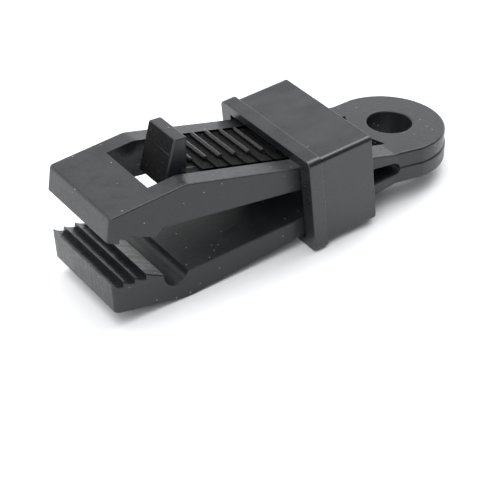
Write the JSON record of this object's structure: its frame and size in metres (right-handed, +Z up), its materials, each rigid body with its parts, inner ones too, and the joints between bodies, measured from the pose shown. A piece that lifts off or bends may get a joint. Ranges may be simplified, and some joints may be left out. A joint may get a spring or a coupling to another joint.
{
  "type": "tarp clip",
  "caption": "Plastic tarp clip: two springy toothed jaws on a rope eye, shut by a sliding collar held on a ribbed ratchet tongue with a thumb tab.",
  "frame": {"origin": "centre of the rope eye's hole, half way through its thickness", "axes": "+X from the jaws towards the eye, +Z up along the hole's axis, through the upper jaw's side"},
  "size_m": [0.0843, 0.031, 0.0303],
  "materials": {
    "jaw_plastic": "black satin moulded nylon",
    "collar_plastic": "black satin moulded nylon, a little smoother"
  },
  "bodies": {
    "eye": {"eye_lug": "jaw_plastic"},
    "upper_jaw": {"upper_jaw": "jaw_plastic"},
    "lower_jaw": {"lower_jaw": "jaw_plastic"},
    "tongue": {"ratchet_tongue": "jaw_plastic"},
    "collar": {"collar": "collar_plastic"}
  },
  "joints": [
    {"name": "collar_slide", "type": "slide", "parent": "eye", "child": "collar", "axis": [-1, 0, 0], "range_m": [0, 0.0129]},
    {"name": "upper_jaw_close", "type": "hinge", "parent": "eye", "child": "upper_jaw", "pos_m": [-0.00735, 0, 0], "axis": [0, -1, 0], "range_deg": [0, 3.6]},
    {"name": "lower_jaw_close", "type": "hinge", "parent": "eye", "child": "lower_jaw", "pos_m": [-0.00735, 0, 0], "axis": [0, 1, 0], "range_deg": [0, 3.6]},
    {"name": "tongue_press", "type": "hinge", "parent": "upper_jaw", "child": "tongue", "pos_m": [-0.00855, 0, 0.00151], "axis": [0, -1, 0], "range_deg": [0, 4], "stiffness_Nm_per_rad": 4}
  ],
  "couplings": [
    {"joint": "upper_jaw_close", "follows": "collar_slide", "rad_per_m": 4.865},
    {"joint": "lower_jaw_close", "follows": "collar_slide", "rad_per_m": 4.865}
  ]
}
